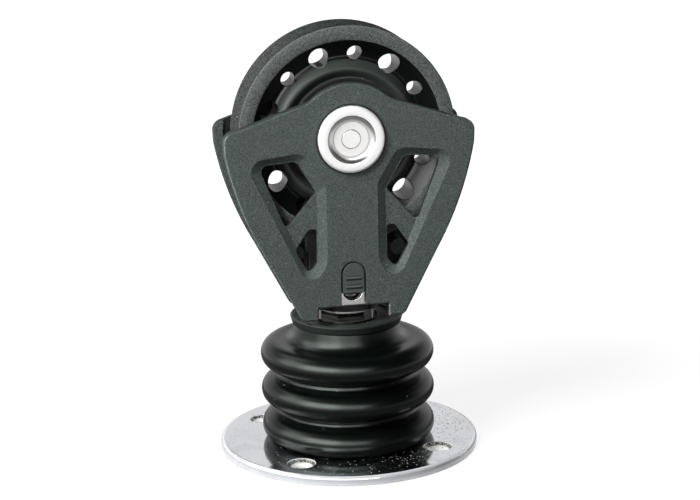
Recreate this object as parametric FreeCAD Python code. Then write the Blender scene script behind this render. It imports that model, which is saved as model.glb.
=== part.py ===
import FreeCAD, Part
import math
import os

Vector = FreeCAD.Vector

# Stand-up block: a swivelling sheave block with a lock slider, held upright by a ribbed rubber boot on a
# round deck plate. Millimetres, +Z up, origin at the centre of the plate's underside. The cheeks face
# -Y and +Y, and the sheave turns about Y.

# Deck plate
plate_radius = 43.4
plate_thickness = 3.0
plate_edge_round = 1.2
deck_hole_circle_radius = 33.5
deck_hole_count = 4
deck_hole_radius = 2.65
deck_hole_countersink_radius = 4.8
deck_hole_turn = 50.3           # degrees from +X to the first screw hole

# Deck eye: a bent round bar whose legs pass through the plate
eye_bar_radius = 3.0
eye_half_span = 9.5
eye_bend_radius = 6.0
eye_height = 16.0               # centre of the crossbar, which is the fore and aft lean axis
eye_weld_width = 1.3
weld_fit = 0.03

# Shackle: hangs on the deck eye and carries the swivel post
shackle_bar_radius = 2.5
shackle_running_gap = 0.3
shackle_pin_height = 33.0       # the side lean axis
shackle_ear_radius = 5.5
shackle_ear_thickness = 4.4
shackle_pin_radius = 3.0
pin_running_gap = 0.05
pin_head_radius = 4.4
pin_head_thickness = 1.6
pin_head_round = 0.6
pin_tail = 2.2
clip_groove_depth = 0.5
clip_thickness = 0.8
clip_width = 1.3
clip_mouth_share = 0.8          # the clip's opening as a share of its inner diameter

# Swivel post
tang_side_gap = 0.2
tang_radius = 5.4
shoulder_clear_of_ears = 2.5
shoulder_radius = 9.0
shoulder_thickness = 1.1
post_radius = 5.0
post_fit = 0.05
post_end_above_nut = 1.0
post_end_chamfer = 0.6

# Collar that plugs the boot's neck
collar_floor_thickness = 2.2
collar_skirt_radius = 14.2
collar_skirt_wall = 1.6
collar_skirt_depth = 2.8
collar_flange_radius = 18.2
collar_flange_drop = 1.5        # the flange's underside below the collar's floor
collar_rim_radius = 18.9
collar_rim_wall = 1.7
collar_cup_taper = 0.4
collar_flange_height = 2.9
collar_rim_round = 0.5

# Stack of washers and nuts between the collar and the load strap
collar_washer_radius = 10.5
collar_washer_thickness = 0.6
collar_nut_flats = 15.0
collar_nut_height = 2.7
collar_nut_chamfer = 0.7
steel_washer_radius = 9.6
steel_washer_thickness = 1.0
swivel_gap = 0.1
swivel_disc_radius = 11.0
swivel_disc_thickness = 1.8

# Rubber boot
boot_lobes = 3
boot_lobe_pitch = 12.5
boot_lobe_round = 4.5
boot_lobe_centre_radius = 24.6
boot_wall = 2.5
boot_neck_radius = 17.6
boot_neck_fillet = 1.8
boot_neck_gap = 0.3
boot_foot_width = 4.0

# Load strap: one bent steel strip that carries the axle and the swivel
strap_thickness = 2.0
strap_half_width = 10.5
strap_inner_half_gap = 9.1
strap_corner_round = 0.8
strap_inner_round = 0.5
strap_axle_height = 56.7        # the axle above the strap's underside
strap_shoulder_rise = 13.5      # where the strip starts to narrow, above the strap's underside
strap_eye_radius = 12.0
strap_window_half_width = 3.4
strap_window_floor = 2.2        # height of the window's sill above the strap's underside
strap_window_height = 11.0
strap_window_reach = 0.5        # how far the cutter goes past the leg's inner face

# Swivel bush and castle nut inside the strap
bush_wall = 1.5
bush_flange_radius = 7.9
bush_flange_thickness = 0.8
nut_radius = 8.4
nut_height = 4.3
nut_slot_width = 3.2
nut_slot_depth = 3.5
nut_slot_count = 4

# Sheave
sheave_radius = 36.0
sheave_half_width = 8.2
sheave_groove_depth = 3.3
sheave_rim_land = 0.8
sheave_flange_inner_radius = 31.5
sheave_dish_radius = 24.4
sheave_dish_half_width = 3.3
sheave_hub_crest_radius = 21.7
sheave_hub_crest_half_width = 7.1
sheave_hub_inner_radius = 19.3
sheave_hub_half_width = 6.0
sheave_hole_circle_radius = 27.0
sheave_hole_pairs = 7
sheave_large_hole_radius = 3.4
sheave_small_hole_radius = 2.45
sheave_hole_turn = 108.5        # degrees from +X to one of the large holes

# Roller bearing
inner_race_radius = 10.0
roller_radius = 2.4
roller_count = 12
roller_half_length = 4.8
roller_running_gap = 0.05
cage_wall = 1.7
cage_half_length = 5.8
cage_pocket_gap = 0.06

# Race covers beside the sheave's hub
race_cover_radius = 19.2
race_cover_boss_radius = 17.4
race_cover_boss_bore_radius = 11.0
race_cover_hub_gap = 0.3

# Axle
axle_radius = 6.0
axle_fit = 0.06
rivet_radius = 3.0
rivet_fit = 0.04
head_radius = 10.94
head_pocket_gap = 0.1
head_pocket_depth = 0.7
head_proud = 1.4
head_crest_radius = 9.5
head_recess_radius = 7.8
head_recess_floor_radius = 6.2
head_recess_depth = 1.1
head_edge_height = 0.9
head_dome_drop = 0.3            # the dome's middle point below the crest
head_dome_swell = 0.25
head_lip_reach = 0.7
head_lip_drop = 0.06

# Cheeks, in the plane of the sheave, measured from the axle
cheek_outer_half_gap = 12.95
cheek_wall = 2.85
cheek_rim_thickness = 3.75
cheek_edge_round = 0.7
cheek_cap_radius = 18.4
cheek_cap_angle = 46.0          # degrees from the top where the cap meets the shoulder
cheek_shoulder_round = 8.0
cheek_ear_x = 41.5
cheek_ear_z = 3.3
cheek_ear_round = 3.6
cheek_side_top_x = 41.25
cheek_side_top_z = -3.2
cheek_side_mid_x = 36.85
cheek_side_mid_z = -20.1
cheek_side_low_x = 28.5
cheek_side_low_z = -38.5
cheek_foot_x = 17.1
cheek_foot_drop = 3.6           # the cheek's foot below the strap's underside
cheek_foot_round = 2.8
cutout_half_width = 11.8
cutout_rise = 0.6               # the cutout's top above the strap's underside
sheave_pocket_gap = 2.2         # between the sheave's edge and the hollow round it
strap_groove_gap = 0.1

# Hollow beside the strap, inside the rim that runs down the cheek's edge
pocket_rim = 3.0
pocket_strap_wall = 1.1
pocket_foot_wall = 1.2
pocket_overlap = 6.0            # how far the hollow runs up into the one round the sheave
pocket_corner_round = 1.0

# Bevelled sunken panels and the windows inside them: x, z and corner radius of each corner. Upper corners
# are measured from the axle and foot corners from the strap's underside.
panel_depth = 1.3
panel_bevel_width = 2.9
panel_upper_corners = [(8.5, -15.0, 4.0), (15.4, -3.5, 5.0), (35.0, -5.7, 4.2)]
panel_foot_corners = [(14.4, 6.7, 4.0), (8.5, 15.2, 8.0)]
panel_floor_upper_corners = [(11.4, -16.9, 1.6), (17.5, -6.2, 2.6), (30.7, -7.2, 2.4)]
panel_floor_foot_corners = [(14.6, 12.1, 1.6), (11.4, 15.9, 4.0)]
top_window_corners = [(11.7, -17.1, 1.1), (17.9, -6.6, 2.2), (30.3, -7.5, 2.2), (21.9, -28.8, 1.2)]
low_window_upper_corners = [(11.7, -29.4, 0.9), (14.4, -29.4, 1.2), (19.0, -36.2, 1.3)]
low_window_foot_corners = [(14.6, 12.5, 1.3), (11.7, 16.0, 1.4)]

# Guard posts moulded on the rear cheek, below the sheave
guard_post_gap = 4.1            # between the sheave's edge and the post
guard_post_radius = 2.7
guard_post_angle = 66.3         # degrees below the horizontal through the axle
guard_post_end = 4.0            # distance of the post's end in front of the middle plane
guard_post_root = 1.2           # depth of the post's root in the cheek

# Lock slider in the front cheek; heights are above the strap's underside
slider_half_width = 3.55
slider_slot_gap = 0.6
slider_arch_rise = 11.75        # the arch's centre
slider_bottom_rise = 5.2
slider_face_recess = 0.1
slider_back_gap = 0.1
slider_slot_top_gap = 0.6
slider_wing_width = 1.15
slider_wing_thickness = 0.7
slider_wing_gap = 0.1
slider_wing_top_rise = 13.1
slider_end_gap = 0.3            # left below the wings at the end of the travel
slider_travel = 3.4
tooth_half_width = 1.35
tooth_bottom_rise = 7.7
tooth_height = 2.8
tooth_end = 6.3
tooth_root = 0.5
rib_rises = [10.2, 7.25]
rib_half_length = 2.6
rib_round = 0.7
rib_sink = 0.4                  # the rib's centre behind the slider's face

# Heights that follow from the sizes above, from the deck upwards
shoulder_bottom = shackle_pin_height + shackle_ear_radius + shoulder_clear_of_ears
collar_floor_bottom = shoulder_bottom + shoulder_thickness
collar_floor_top = collar_floor_bottom + collar_floor_thickness
collar_flange_bottom = collar_floor_top - collar_flange_drop
collar_washer_top = collar_floor_top + collar_washer_thickness
collar_nut_top = collar_washer_top + collar_nut_height
steel_washer_top = collar_nut_top + steel_washer_thickness
swivel_disc_bottom = steel_washer_top + swivel_gap
strap_bottom = swivel_disc_bottom + swivel_disc_thickness
strap_floor = strap_bottom + strap_thickness
strap_shoulder_height = strap_bottom + strap_shoulder_rise
axle_height = strap_bottom + strap_axle_height
bush_top = strap_floor + bush_flange_thickness
nut_bottom = bush_top + swivel_gap
nut_top = nut_bottom + nut_height
post_top = nut_top + post_end_above_nut
strap_outer = strap_inner_half_gap + strap_thickness
post_bore_radius = post_radius + post_fit
axle_bore_radius = axle_radius + axle_fit
bush_radius = post_bore_radius + bush_wall
head_seat = cheek_outer_half_gap - head_pocket_depth
shackle_inner_half_gap = eye_bar_radius + shackle_running_gap
shackle_pin_bore_radius = shackle_pin_radius + pin_running_gap

# Heights above the axle of the parts that are placed from the strap's underside
cheek_foot_z = -cheek_foot_drop - strap_axle_height
cutout_top_z = cutout_rise - strap_axle_height
slider_arch_z = slider_arch_rise - strap_axle_height
slider_bottom_z = slider_bottom_rise - strap_axle_height
slider_wing_top_z = slider_wing_top_rise - strap_axle_height
tooth_bottom_z = tooth_bottom_rise - strap_axle_height


def cylinder(radius, z0, z1, x=0.0, y=0.0):
    return Part.makeCylinder(radius, z1 - z0, Vector(x, y, z0))


def cross_cylinder(radius, y0, y1, x=0.0, z=0.0):
    """A cylinder along Y."""
    return Part.makeCylinder(radius, y1 - y0, Vector(x, y0, z), Vector(0, 1, 0))


def box(x0, x1, y0, y1, z0, z1):
    return Part.makeBox(x1 - x0, y1 - y0, z1 - z0, Vector(x0, y0, z0))


def washer(outer, inner, z0, z1):
    return cylinder(outer, z0, z1).cut(cylinder(inner, z0 - 1, z1 + 1))


def arc(a, b, c):
    return Part.Arc(a, b, c).toShape()


def line(a, b):
    return Part.makeLine(a, b)


def polygon_face(points):
    return Part.Face(Part.makePolygon(points + [points[0]]))


def revolve_z(points):
    """A closed profile of (radius, z) turned about the Z axis."""
    profile = polygon_face([Vector(r, 0, z) for r, z in points])
    return profile.revolve(Vector(0, 0, 0), Vector(0, 0, 1), 360)


def revolve_axle(edges):
    """A closed profile of edges in the XY plane, x as radius, turned about the axle."""
    profile = Part.Face(Part.Wire(edges))
    turned = profile.revolve(Vector(0, 0, 0), Vector(0, 1, 0), 360)
    turned.translate(Vector(0, 0, axle_height))
    return turned


def chain(points):
    """Straight edges through (radius, y) points."""
    corners = [Vector(r, y, 0) for r, y in points]
    return [line(a, b) for a, b in zip(corners, corners[1:])]


def from_foot(corners):
    """Corners measured from the strap's underside, as corners measured from the axle."""
    return [(x, z - strap_axle_height, radius) for x, z, radius in corners]


def rounded_wire(corners, y, on_left=False):
    """A closed wire in the plane at y through (x, z, corner radius), each corner an arc."""
    sign = -1 if on_left else 1
    places = [Vector(sign * x, y, z + axle_height) for x, z, _ in corners]
    count = len(places)
    starts, ends, middles = [], [], []
    for i in range(count):
        before = (places[i - 1] - places[i]).normalize()
        after = (places[(i + 1) % count] - places[i]).normalize()
        half_angle = before.getAngle(after) / 2
        radius = corners[i][2]
        reach = radius / math.tan(half_angle)
        centre = places[i] + (before + after).normalize() * (radius / math.sin(half_angle))
        starts.append(places[i] + before * reach)
        ends.append(places[i] + after * reach)
        middles.append(centre + (places[i] - centre).normalize() * radius)
    edges = []
    for i in range(count):
        edges.append(arc(starts[i], middles[i], ends[i]))
        edges.append(line(ends[i], starts[(i + 1) % count]))
    return Part.Wire(edges)


def prism(wire, depth):
    """A solid from a wire, drawn along +Y by depth."""
    return Part.Face(wire).extrude(Vector(0, depth, 0))


def base_plate():
    plate = cylinder(plate_radius, 0, plate_thickness)
    rim = [e for e in plate.Edges if e.BoundBox.ZMin > plate_thickness - 0.01]
    plate = plate.makeFillet(plate_edge_round, rim)
    countersink_depth = deck_hole_countersink_radius - deck_hole_radius
    for i in range(deck_hole_count):
        angle = math.radians(deck_hole_turn + 360 * i / deck_hole_count)
        x = deck_hole_circle_radius * math.cos(angle)
        y = deck_hole_circle_radius * math.sin(angle)
        plate = plate.cut(cylinder(deck_hole_radius, -1, plate_thickness + 1, x, y))
        cone = Part.makeCone(deck_hole_radius, deck_hole_countersink_radius + 1, countersink_depth + 1,
                             Vector(x, y, plate_thickness - countersink_depth))
        plate = plate.cut(cone)
    for side in (-1, 1):
        leg_hole = cylinder(eye_bar_radius + weld_fit, -1, plate_thickness + 1, side * eye_half_span)
        plate = plate.cut(leg_hole)
    return plate


def bar_bend(radius, start, pivot, axis, angle):
    """A round bar bent about an axis through pivot, from a section centred at start."""
    section = Part.Face(Part.Wire(Part.makeCircle(radius, start, axis.cross(start - pivot))))
    return section.revolve(pivot, axis, angle)


def deck_eye():
    bend = eye_height - eye_bend_radius
    inner = eye_half_span - eye_bend_radius
    eye = Part.makeCylinder(eye_bar_radius, 2 * inner, Vector(-inner, 0, eye_height), Vector(1, 0, 0))
    for side in (-1, 1):
        x = side * eye_half_span
        corner = bar_bend(eye_bar_radius, Vector(x, 0, bend), Vector(side * inner, 0, bend),
                          Vector(0, -side, 0), 90)
        weld = Part.makeCone(eye_bar_radius + eye_weld_width, eye_bar_radius, eye_weld_width,
                             Vector(x, 0, plate_thickness))
        eye = eye.fuse([cylinder(eye_bar_radius, 0, bend, x), corner, weld])
    return eye.removeSplitter()


def boot_profile(lobe_round, neck_radius, neck_fillet, top):
    """Edges of one side of the boot's wall, from the foot to the neck, as (radius, z) in XZ."""
    edges = []
    valley_round = boot_lobe_pitch / 2 - lobe_round
    centre_radius = boot_lobe_centre_radius
    first_lobe = plate_thickness + boot_lobe_round
    for i in range(boot_lobes):
        z = first_lobe + i * boot_lobe_pitch
        edges.append(arc(Vector(centre_radius, 0, z - lobe_round), Vector(centre_radius + lobe_round, 0, z),
                         Vector(centre_radius, 0, z + lobe_round)))
        if i < boot_lobes - 1:
            z += boot_lobe_pitch / 2
            edges.append(arc(Vector(centre_radius, 0, z - valley_round),
                             Vector(centre_radius - valley_round, 0, z),
                             Vector(centre_radius, 0, z + valley_round)))
    z = first_lobe + (boot_lobes - 1) * boot_lobe_pitch + lobe_round
    diagonal = neck_fillet * math.sqrt(0.5)
    bend = neck_radius + neck_fillet
    edges.append(line(Vector(centre_radius, 0, z), Vector(bend, 0, z)))
    edges.append(arc(Vector(bend, 0, z), Vector(bend - diagonal, 0, z + neck_fillet - diagonal),
                     Vector(neck_radius, 0, z + neck_fillet)))
    edges.append(line(Vector(neck_radius, 0, z + neck_fillet), Vector(neck_radius, 0, top)))
    return edges


def boot():
    top = collar_flange_bottom - boot_neck_gap
    inner_neck = collar_skirt_radius + boot_neck_gap
    outer = boot_profile(boot_lobe_round, boot_neck_radius, boot_neck_fillet, top)
    inner = boot_profile(boot_lobe_round - boot_wall, inner_neck, boot_neck_fillet, top)
    inner_foot = boot_lobe_centre_radius - boot_foot_width
    foot_top = plate_thickness + boot_wall
    outer_start = Vector(boot_lobe_centre_radius, 0, plate_thickness)
    inner_start = Vector(boot_lobe_centre_radius, 0, foot_top)
    foot = [line(outer_start, Vector(inner_foot, 0, plate_thickness)),
            line(Vector(inner_foot, 0, plate_thickness), Vector(inner_foot, 0, foot_top)),
            line(Vector(inner_foot, 0, foot_top), inner_start)]
    rim = [line(Vector(boot_neck_radius, 0, top), Vector(inner_neck, 0, top))]
    profile = Part.Face(Part.Wire(Part.__sortEdges__(outer + inner + foot + rim)))
    return profile.revolve(Vector(0, 0, 0), Vector(0, 0, 1), 360)


def shackle_bow():
    centre = shackle_inner_half_gap + shackle_bar_radius
    near = shackle_inner_half_gap
    far = near + shackle_ear_thickness
    bow = bar_bend(shackle_bar_radius, Vector(0, -centre, eye_height), Vector(0, 0, eye_height),
                   Vector(1, 0, 0), 180)
    for side in (-1, 1):
        leg = cylinder(shackle_bar_radius, eye_height, shackle_pin_height, 0, side * centre)
        trim = box(-shackle_ear_radius, shackle_ear_radius, far, far + shackle_ear_radius,
                   shackle_pin_height - shackle_ear_radius, shackle_pin_height + shackle_ear_radius)
        ear = cross_cylinder(shackle_ear_radius, near, far, 0, shackle_pin_height)
        if side < 0:
            trim = trim.mirror(Vector(0, 0, 0), Vector(0, 1, 0))
            ear = ear.mirror(Vector(0, 0, 0), Vector(0, 1, 0))
        bow = bow.fuse([leg, ear]).cut(trim)
    bore = cross_cylinder(shackle_pin_bore_radius, -far - 1, far + 1, 0, shackle_pin_height)
    return bow.cut(bore).removeSplitter()


def shackle_pin():
    far = shackle_inner_half_gap + shackle_ear_thickness
    pin = cross_cylinder(shackle_pin_radius, -far, far + pin_tail, 0, shackle_pin_height)
    head = cross_cylinder(pin_head_radius, -far - pin_head_thickness, -far, 0, shackle_pin_height)
    face = -far - pin_head_thickness
    head = head.makeFillet(pin_head_round, [e for e in head.Edges if e.BoundBox.YMax < face + 0.01])
    groove = cross_cylinder(pin_head_radius, far + pin_running_gap, far + pin_running_gap + clip_thickness,
                            0, shackle_pin_height)
    groove = groove.cut(cross_cylinder(shackle_pin_radius - clip_groove_depth, far - 1, far + pin_tail + 1,
                                       0, shackle_pin_height))
    return pin.fuse(head).cut(groove).removeSplitter()


def pin_clip():
    """The spring clip in the pin's groove, open on one side."""
    far = shackle_inner_half_gap + shackle_ear_thickness + pin_running_gap
    inner = shackle_pin_radius - clip_groove_depth + pin_running_gap
    ring = cross_cylinder(inner + clip_width, far, far + clip_thickness, 0, shackle_pin_height)
    ring = ring.cut(cross_cylinder(inner, far - 1, far + clip_thickness + 1, 0, shackle_pin_height))
    mouth = inner * clip_mouth_share
    below = shackle_pin_height - inner - clip_width - 1
    return ring.cut(box(-mouth, mouth, far - 1, far + clip_thickness + 1, below, shackle_pin_height))


def swivel_post():
    half = shackle_inner_half_gap - tang_side_gap
    tang = cross_cylinder(tang_radius, -half, half, 0, shackle_pin_height)
    tang = tang.fuse(box(-tang_radius, tang_radius, -half, half, shackle_pin_height, shoulder_bottom))
    post = tang.fuse(cylinder(shoulder_radius, shoulder_bottom, collar_floor_bottom))
    shank = cylinder(post_radius, collar_floor_bottom, post_top)
    end = [e for e in shank.Edges if e.BoundBox.ZMin > post_top - 0.01]
    shank = shank.makeChamfer(post_end_chamfer, end)
    bore = cross_cylinder(shackle_pin_bore_radius, -half - 1, half + 1, 0, shackle_pin_height)
    return post.fuse(shank).cut(bore).removeSplitter()


def boot_collar():
    skirt_inner = collar_skirt_radius - collar_skirt_wall
    skirt_bottom = collar_floor_bottom - collar_skirt_depth
    top = collar_flange_bottom + collar_flange_height
    rim_inner = collar_rim_radius - collar_rim_wall
    points = [(post_bore_radius, collar_floor_bottom), (skirt_inner, collar_floor_bottom),
              (skirt_inner, skirt_bottom), (collar_skirt_radius, skirt_bottom),
              (collar_skirt_radius, collar_flange_bottom), (collar_flange_radius, collar_flange_bottom),
              (collar_rim_radius, top - collar_rim_round), (collar_rim_radius - collar_rim_round, top),
              (rim_inner + collar_rim_round, top), (rim_inner, top - collar_rim_round),
              (rim_inner - collar_cup_taper, collar_floor_top), (post_bore_radius, collar_floor_top)]
    return revolve_z(points)


def hexagon(flats, z0, z1):
    corner = flats / math.sqrt(3)
    points = [Vector(corner * math.cos(math.radians(60 * i)), corner * math.sin(math.radians(60 * i)), z0)
              for i in range(6)]
    return polygon_face(points).extrude(Vector(0, 0, z1 - z0))


def collar_nut():
    nut = hexagon(collar_nut_flats, collar_washer_top, collar_nut_top)
    corner = collar_nut_flats / math.sqrt(3)
    chamfer_height = collar_nut_chamfer / 2
    top = corner - collar_nut_chamfer
    cover = revolve_z([(0, collar_washer_top), (corner, collar_washer_top),
                       (corner, collar_nut_top - chamfer_height), (top, collar_nut_top), (0, collar_nut_top)])
    return nut.common(cover).cut(cylinder(post_bore_radius, 0, axle_height))


def swivel_bush():
    sleeve = washer(bush_radius, post_bore_radius, strap_bottom, bush_top)
    return sleeve.fuse(washer(bush_flange_radius, post_bore_radius, strap_floor, bush_top)).removeSplitter()


def castle_nut():
    nut = washer(nut_radius, post_bore_radius, nut_bottom, nut_top)
    slot_floor = nut_top - nut_slot_depth
    half = nut_slot_width / 2
    slot = box(-half, half, -nut_radius - 1, -post_radius, slot_floor, nut_top + 1)
    for i in range(nut_slot_count):
        turned = slot.copy()
        turned.rotate(Vector(0, 0, 0), Vector(0, 0, 1), 360 * i / nut_slot_count)
        nut = nut.cut(turned)
    return nut


def strap_leg_outline(y, grow):
    """The strip's front view, wider by grow all round, as a closed wire in the plane at y."""
    half = strap_half_width + grow
    eye = strap_eye_radius + grow
    top = axle_height + eye
    low = strap_bottom - grow
    lean = axle_height - strap_shoulder_height
    # the tangent from the shoulder to the eye's circle
    distance = math.hypot(half, lean)
    base_angle = math.atan2(-lean, half)
    touch = base_angle + math.acos(min(1.0, eye / distance))
    tx, tz = eye * math.cos(touch), axle_height + eye * math.sin(touch)
    left, right = Vector(-half, y, low), Vector(half, y, low)
    edges = [line(left, right), line(right, Vector(half, y, strap_shoulder_height)),
             line(Vector(half, y, strap_shoulder_height), Vector(tx, y, tz)),
             arc(Vector(tx, y, tz), Vector(0, y, top), Vector(-tx, y, tz)),
             line(Vector(-tx, y, tz), Vector(-half, y, strap_shoulder_height)),
             line(Vector(-half, y, strap_shoulder_height), left)]
    return Part.Wire(edges)


def bend_edges(solid, z, y):
    """The two edges along X at height z, at plus and minus y."""
    level = [e for e in solid.Edges if abs(e.BoundBox.ZMax - z) < 0.01]
    return [e for e in level if abs(abs(e.BoundBox.Center.y) - y) < 0.01]


def load_strap():
    outer = strap_outer
    inner = strap_inner_half_gap
    top = axle_height + strap_eye_radius + 1
    side = max(strap_half_width, strap_eye_radius) + 1
    blank = box(-side, side, -outer, outer, strap_bottom, top)
    hollow = box(-side - 1, side + 1, -inner, inner, strap_floor, top + 1)
    blank = blank.makeFillet(strap_corner_round, bend_edges(blank, strap_bottom, outer))
    hollow = hollow.makeFillet(strap_inner_round, bend_edges(hollow, strap_floor, inner))
    bent = blank.cut(hollow)
    strap = bent.common(prism(strap_leg_outline(-outer - 1, 0), 2 * outer + 2))
    strap = strap.cut(cross_cylinder(axle_bore_radius, -outer - 1, outer + 1, 0, axle_height))
    strap = strap.cut(cylinder(bush_radius + post_fit, 0, strap_floor + 1))
    return strap.cut(strap_window())


def strap_window():
    """The lock tooth's window in the strap's front leg, round at both ends."""
    half = strap_window_half_width
    low = strap_bottom + strap_window_floor + half
    high = strap_bottom + strap_window_floor + strap_window_height - half
    outside, inside = -strap_outer - 1, -strap_inner_half_gap + strap_window_reach
    window = box(-half, half, outside, inside, low, high)
    for z in (low, high):
        window = window.fuse(cross_cylinder(half, outside, inside, 0, z))
    return window


def cheek_outline(y):
    """The cheek's whole outline as a closed wire, corners left sharp, and where they are."""
    cap = math.radians(cheek_cap_angle)
    cap_x, cap_z = cheek_cap_radius * math.sin(cap), cheek_cap_radius * math.cos(cap)

    def at(x, z):
        return Vector(x, y, z + axle_height)

    edges = [arc(at(-cap_x, cap_z), at(0, cheek_cap_radius), at(cap_x, cap_z))]
    for s in (1, -1):
        edges.append(line(at(s * cap_x, cap_z), at(s * cheek_ear_x, cheek_ear_z)))
        edges.append(line(at(s * cheek_ear_x, cheek_ear_z), at(s * cheek_side_top_x, cheek_side_top_z)))
        edges.append(arc(at(s * cheek_side_top_x, cheek_side_top_z),
                         at(s * cheek_side_mid_x, cheek_side_mid_z),
                         at(s * cheek_side_low_x, cheek_side_low_z)))
        edges.append(line(at(s * cheek_side_low_x, cheek_side_low_z), at(s * cheek_foot_x, cheek_foot_z)))
        edges.append(line(at(s * cheek_foot_x, cheek_foot_z), at(s * cutout_half_width, cheek_foot_z)))
        edges.append(line(at(s * cutout_half_width, cheek_foot_z), at(s * cutout_half_width, cutout_top_z)))
    edges.append(line(at(-cutout_half_width, cutout_top_z), at(cutout_half_width, cutout_top_z)))
    return Part.Wire(Part.__sortEdges__(edges))


def upright_edges(solid, x, z):
    """Edges along Y at plus and minus x, at height z above the axle."""
    found = []
    for e in solid.Edges:
        b = e.BoundBox
        if b.XLength + b.ZLength < 0.01 and abs(abs(b.Center.x) - x) < 0.05:
            if abs(b.Center.z - axle_height - z) < 0.05:
                found.append(e)
    return found


def cheek_blank():
    """The cheek's solid outline with rounded corners and a rounded outer edge, before any cut."""
    front = -cheek_outer_half_gap
    cap = math.radians(cheek_cap_angle)
    blank = prism(cheek_outline(front), cheek_rim_thickness)
    corners = [(cheek_cap_radius * math.sin(cap), cheek_cap_radius * math.cos(cap), cheek_shoulder_round),
               (cheek_ear_x, cheek_ear_z, cheek_ear_round),
               (cheek_foot_x, cheek_foot_z, cheek_foot_round)]
    for x, z, radius in corners:
        blank = blank.makeFillet(radius, upright_edges(blank, x, z))
    rim = [e for e in blank.Edges if e.BoundBox.YMax < front + 0.01]
    return blank.makeFillet(cheek_edge_round, rim)


def cut_panels(cheek):
    """Both sunken panels with their bevels, and the upper window in each."""
    front = -cheek_outer_half_gap
    # the bevel runs on a little past the face, at the same slope
    over = panel_bevel_width / panel_depth
    top_face = panel_upper_corners + from_foot(panel_foot_corners)
    floor_face = panel_floor_upper_corners + from_foot(panel_floor_foot_corners)
    for on_left in (False, True):
        face = rounded_wire(top_face, front, on_left)
        floor = rounded_wire(floor_face, front + panel_depth, on_left)
        lid = prism(rounded_wire(top_face, front - over, on_left), over)
        window = prism(rounded_wire(top_window_corners, front - 1, on_left), 2 * cheek_rim_thickness)
        cheek = cheek.cut([Part.makeLoft([face, floor], True, True), lid, window])
    return cheek


def lower_pocket(on_left):
    """The hollow beside the strap, inside the rim that runs down the cheek's edge."""
    run = math.hypot(cheek_side_low_x - cheek_foot_x, cheek_side_low_z - cheek_foot_z)
    inset = pocket_rim * run / (cheek_side_low_z - cheek_foot_z)
    lean = (cheek_side_low_x - cheek_foot_x) / (cheek_side_low_z - cheek_foot_z)
    near = strap_half_width + strap_groove_gap + pocket_strap_wall
    low = cutout_top_z + pocket_foot_wall
    top = cheek_side_low_z + pocket_overlap

    def side(z):
        return cheek_foot_x - inset + lean * (z - cheek_foot_z)

    corners = [(near, top), (side(top), top), (side(low), low), (near, low)]
    corners = [(x, z, pocket_corner_round) for x, z in corners]
    return rounded_wire(corners, -cheek_outer_half_gap + cheek_wall, on_left)


def cheek():
    """The moulding that both cheeks share, as the front one."""
    front = -cheek_outer_half_gap
    back = front + cheek_rim_thickness
    floor = front + cheek_wall
    body = cut_panels(cheek_blank())
    body = body.cut(cross_cylinder(sheave_radius + sheave_pocket_gap, floor, back + 1, 0, axle_height))
    for on_left in (False, True):
        body = body.cut(prism(lower_pocket(on_left), cheek_wall))
    body = body.cut(prism(strap_leg_outline(-strap_outer, strap_groove_gap), strap_outer))
    body = body.cut(cross_cylinder(axle_bore_radius, front - 1, back, 0, axle_height))
    return body.cut(cross_cylinder(head_radius + head_pocket_gap, front - 1, -head_seat, 0, axle_height))


def arch(half_width, arch_z, bottom_z, y0, y1):
    """An upright slab with a round top, from bottom_z to the arch centred at arch_z."""
    z = arch_z + axle_height
    slab = box(-half_width, half_width, y0, y1, bottom_z + axle_height, z)
    return slab.fuse(cross_cylinder(half_width, y0, y1, 0, z)).removeSplitter()


def front_cheek():
    """The cheek with the lower windows and the lock slider's slot and track."""
    front = -cheek_outer_half_gap
    body = cheek()
    for on_left in (False, True):
        corners = low_window_upper_corners + from_foot(low_window_foot_corners)
        body = body.cut(prism(rounded_wire(corners, front - 1, on_left), 2 * cheek_rim_thickness))
    slot = arch(slider_half_width + slider_slot_gap, slider_arch_z + slider_slot_top_gap - slider_slot_gap,
                cheek_foot_z, front - 1, -strap_outer + 1)
    wing = slider_half_width + slider_wing_width + slider_slot_gap
    wing_top = slider_wing_top_z + slider_slot_gap
    wing_bottom = slider_bottom_z - slider_travel - slider_end_gap
    wing_front = -strap_outer - slider_back_gap - slider_wing_thickness - slider_wing_gap
    track = box(-wing, wing, wing_front, -strap_outer + 1, wing_bottom + axle_height, wing_top + axle_height)
    return body.cut(slot).cut(track)


def rear_cheek():
    """The cheek with the guard posts; its panels are closed where the posts stand."""
    rear = cheek().mirror(Vector(0, 0, 0), Vector(0, 1, 0))
    root = cheek_outer_half_gap - cheek_wall + guard_post_root
    reach = sheave_radius + guard_post_gap + guard_post_radius
    angle = math.radians(guard_post_angle)
    for side in (-1, 1):
        x, z = side * reach * math.cos(angle), axle_height - reach * math.sin(angle)
        rear = rear.fuse(cross_cylinder(guard_post_radius, -guard_post_end, root, x, z))
    return rear.removeSplitter()


def lock_slider():
    front = -cheek_outer_half_gap + slider_face_recess
    back = -strap_outer - slider_back_gap
    slider = arch(slider_half_width, slider_arch_z, slider_bottom_z, front, back)
    wing = slider_half_width + slider_wing_width
    slider = slider.fuse(box(-wing, wing, back - slider_wing_thickness, back,
                             slider_bottom_z + axle_height, slider_wing_top_z + axle_height))
    tooth = box(-tooth_half_width, tooth_half_width, back - tooth_root, -tooth_end,
                tooth_bottom_z + axle_height, tooth_bottom_z + tooth_height + axle_height)
    slider = slider.fuse(tooth)
    for rise in rib_rises:
        rib_end = Vector(-rib_half_length, front + rib_sink, strap_bottom + rise)
        slider = slider.fuse(Part.makeCylinder(rib_round, 2 * rib_half_length, rib_end, Vector(1, 0, 0)))
    return slider.removeSplitter()


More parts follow.
